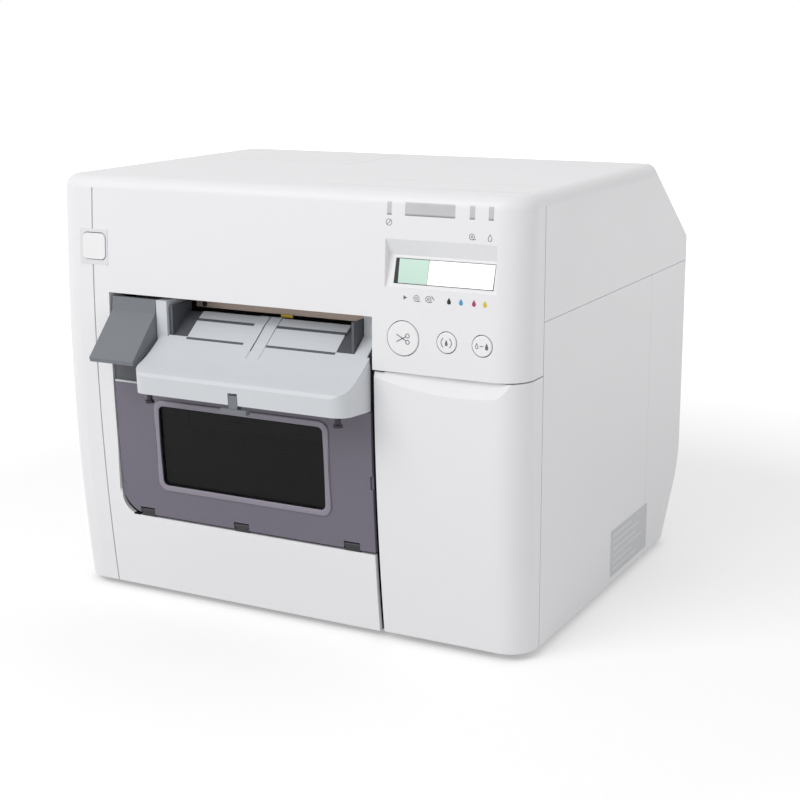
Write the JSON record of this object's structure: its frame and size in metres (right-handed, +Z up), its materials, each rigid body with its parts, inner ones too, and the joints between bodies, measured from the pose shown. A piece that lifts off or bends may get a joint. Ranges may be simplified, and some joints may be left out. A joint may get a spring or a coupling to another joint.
{
  "type": "label printer",
  "caption": "Desktop colour label printer with a hinged roll cover and eject tray, a hinged ink cover, buttons and a display, and its feed, print and cutting mechanism inside.",
  "frame": {"origin": "on the surface it stands on, under the middle of its box with the tray included", "axes": "+X to its right seen from in front, +Y to its back, +Z up"},
  "size_m": [0.31, 0.313, 0.261],
  "materials": {
    "casing_white": "fine moulded texture, white",
    "tray_grey": "moulded, light grey",
    "panel_grey": "moulded, dark violet grey",
    "lever_grey": "moulded, mid grey",
    "dark_plastic": "moulded, dark grey",
    "window_smoke": "smoked, glossy",
    "button_white": "satin",
    "bezel_grey": "satin",
    "light_window": "translucent",
    "display_glass": "display window",
    "circuit_board": "solder resist over laminate",
    "sheet_steel": "zinc-plated sheet",
    "bright_steel": "ground",
    "hook_steel": "plated",
    "rubber": "matt",
    "holder_grey": "moulded",
    "pulley_white": "moulded",
    "motor_black": "painted",
    "head_black": "moulded",
    "socket_black": "moulded",
    "cyan_plastic": "moulded",
    "magenta_plastic": "moulded",
    "yellow_plastic": "moulded"
  },
  "bodies": {
    "root": {"ac_inlet": "socket_black", "base_tray": "dark_plastic", "carriage_belt": "rubber", "carriage_motor": "motor_black", "carriage_shaft": "bright_steel", "casing_screws": "bright_steel", "chassis": "sheet_steel", "control_boards": "circuit_board", "cover_hinge_pins": "bright_steel", "cutter_frame": "bright_steel", "data_ports": "socket_black", "feed_belt": "rubber", "feed_motor": "motor_black", "front_case": "casing_white", "ink_bay": "dark_plastic", "lcd_module": "display_glass", "led_windows": "light_window", "left_side_cover": "casing_white", "main_board": "circuit_board", "pinch_frame": "dark_plastic", "platen": "dark_plastic", "power_bezel": "bezel_grey", "power_supply": "sheet_steel", "rear_case": "casing_white", "rear_paper_guide": "dark_plastic", "right_side_cover": "casing_white", "rubber_feet": "rubber", "upper_case": "casing_white"},
    "roll_cover": {"roll_cover_panel": "panel_grey", "window_pane": "window_smoke", "roll_cover_frame": "dark_plastic", "eject_table": "tray_grey", "tray_hooks": "hook_steel", "exit_slats": "tray_grey", "exit_guides": "dark_plastic", "center_rails": "tray_grey", "lever_pin": "bright_steel"},
    "lever": {"cover_lever": "lever_grey"},
    "lock_clip": {"table_lock_clip": "dark_plastic"},
    "ink_door": {"ink_cover": "casing_white"},
    "power_key": {"power_button": "button_white"},
    "cut_key": {"cut_button": "button_white"},
    "feed_key": {"feed_button": "button_white"},
    "cleaning_key": {"cleaning_button": "button_white"},
    "roll_holder": {"roll_spindle": "holder_grey"},
    "sliding_flange": {"movable_flange": "holder_grey"},
    "feed_drum": {"feed_roller": "rubber", "feed_pulley": "pulley_white"},
    "feed_drive": {"motor_pulley": "pulley_white"},
    "pinch": {"pinch_rollers": "rubber"},
    "carriage": {"print_carriage": "dark_plastic", "print_head": "head_black"},
    "belt_drive": {"drive_pulley": "pulley_white"},
    "belt_idler": {"idler_pulley": "pulley_white"},
    "blade": {"cutter_blade": "bright_steel"},
    "black_ink": {"cartridge_black": "dark_plastic"},
    "cyan_ink": {"cartridge_cyan": "cyan_plastic"},
    "magenta_ink": {"cartridge_magenta": "magenta_plastic"},
    "yellow_ink": {"cartridge_yellow": "yellow_plastic"},
    "waste_box": {"maintenance_box": "dark_plastic"}
  },
  "joints": [
    {"name": "roll_cover_hinge", "type": "hinge", "parent": "root", "child": "roll_cover", "pos_m": [0, -0.12015, 0.0558], "axis": [1, 0, 0], "range_deg": [0, 85]},
    {"name": "lever_press", "type": "hinge", "parent": "roll_cover", "child": "lever", "pos_m": [-0.097, -0.116, 0.184], "axis": [1, 0, 0], "range_deg": [0, 15], "stiffness_Nm_per_rad": 0.05, "springref_deg": -11.46},
    {"name": "lock_clip_slide", "type": "slide", "parent": "roll_cover", "child": "lock_clip", "axis": [0, 0, -1], "range_m": [0, 0.003]},
    {"name": "ink_cover_hinge", "type": "hinge", "parent": "root", "child": "ink_door", "pos_m": [0.1, -0.11043, 0.008], "axis": [1, 0, 0], "range_deg": [0, 80]},
    {"name": "power_press", "type": "slide", "parent": "root", "child": "power_key", "axis": [0, 1, 0], "range_m": [0, 0.0012], "stiffness_N_per_m": 300, "springref_m": -0.0015},
    {"name": "cut_press", "type": "slide", "parent": "root", "child": "cut_key", "axis": [0, 1, 0], "range_m": [0, 0.0012], "stiffness_N_per_m": 300, "springref_m": -0.0015},
    {"name": "feed_press", "type": "slide", "parent": "root", "child": "feed_key", "axis": [0, 1, 0], "range_m": [0, 0.0012], "stiffness_N_per_m": 300, "springref_m": -0.0015},
    {"name": "cleaning_press", "type": "slide", "parent": "root", "child": "cleaning_key", "axis": [0, 1, 0], "range_m": [0, 0.0012], "stiffness_N_per_m": 300, "springref_m": -0.0015},
    {"name": "roll_turn", "type": "hinge", "parent": "root", "child": "roll_holder", "pos_m": [0, -0.06, 0.104], "axis": [1, 0, 0], "continuous": true},
    {"name": "flange_slide", "type": "slide", "parent": "roll_holder", "child": "sliding_flange", "axis": [-1, 0, 0], "range_m": [0, 0.06]},
    {"name": "feed_turn", "type": "hinge", "parent": "root", "child": "feed_drum", "pos_m": [0, 0.01, 0.17], "axis": [1, 0, 0], "continuous": true},
    {"name": "feed_drive_turn", "type": "hinge", "parent": "root", "child": "feed_drive", "pos_m": [-0.127, 0.06, 0.12], "axis": [1, 0, 0], "continuous": true},
    {"name": "pinch_turn", "type": "hinge", "parent": "root", "child": "pinch", "pos_m": [0, 0.01, 0.1834], "axis": [1, 0, 0], "continuous": true},
    {"name": "carriage_run", "type": "slide", "parent": "root", "child": "carriage", "axis": [-1, 0, 0], "range_m": [0, 0.19]},
    {"name": "belt_drive_turn", "type": "hinge", "parent": "root", "child": "belt_drive", "pos_m": [0.122, 0.01, 0.232], "axis": [0, 1, 0], "continuous": true},
    {"name": "belt_idler_turn", "type": "hinge", "parent": "root", "child": "belt_idler", "pos_m": [-0.11, 0.01, 0.232], "axis": [0, 1, 0], "continuous": true},
    {"name": "blade_run", "type": "slide", "parent": "root", "child": "blade", "axis": [1, 0, 0], "range_m": [0, 0.138]},
    {"name": "black_cartridge_pull", "type": "slide", "parent": "root", "child": "black_ink", "axis": [0, -1, 0], "range_m": [0, 0.015]},
    {"name": "cyan_cartridge_pull", "type": "slide", "parent": "root", "child": "cyan_ink", "axis": [0, -1, 0], "range_m": [0, 0.015]},
    {"name": "magenta_cartridge_pull", "type": "slide", "parent": "root", "child": "magenta_ink", "axis": [0, -1, 0], "range_m": [0, 0.015]},
    {"name": "yellow_cartridge_pull", "type": "slide", "parent": "root", "child": "yellow_ink", "axis": [0, -1, 0], "range_m": [0, 0.015]},
    {"name": "waste_box_pull", "type": "slide", "parent": "root", "child": "waste_box", "axis": [0, -1, 0], "range_m": [0, 0.01]}
  ],
  "couplings": [
    {"joint": "feed_drive_turn", "follows": "feed_turn", "ratio": 2},
    {"joint": "pinch_turn", "follows": "feed_turn", "ratio": -2.25},
    {"joint": "belt_drive_turn", "follows": "carriage_run", "rad_per_m": 158.73},
    {"joint": "belt_idler_turn", "follows": "carriage_run", "rad_per_m": 158.73}
  ]
}
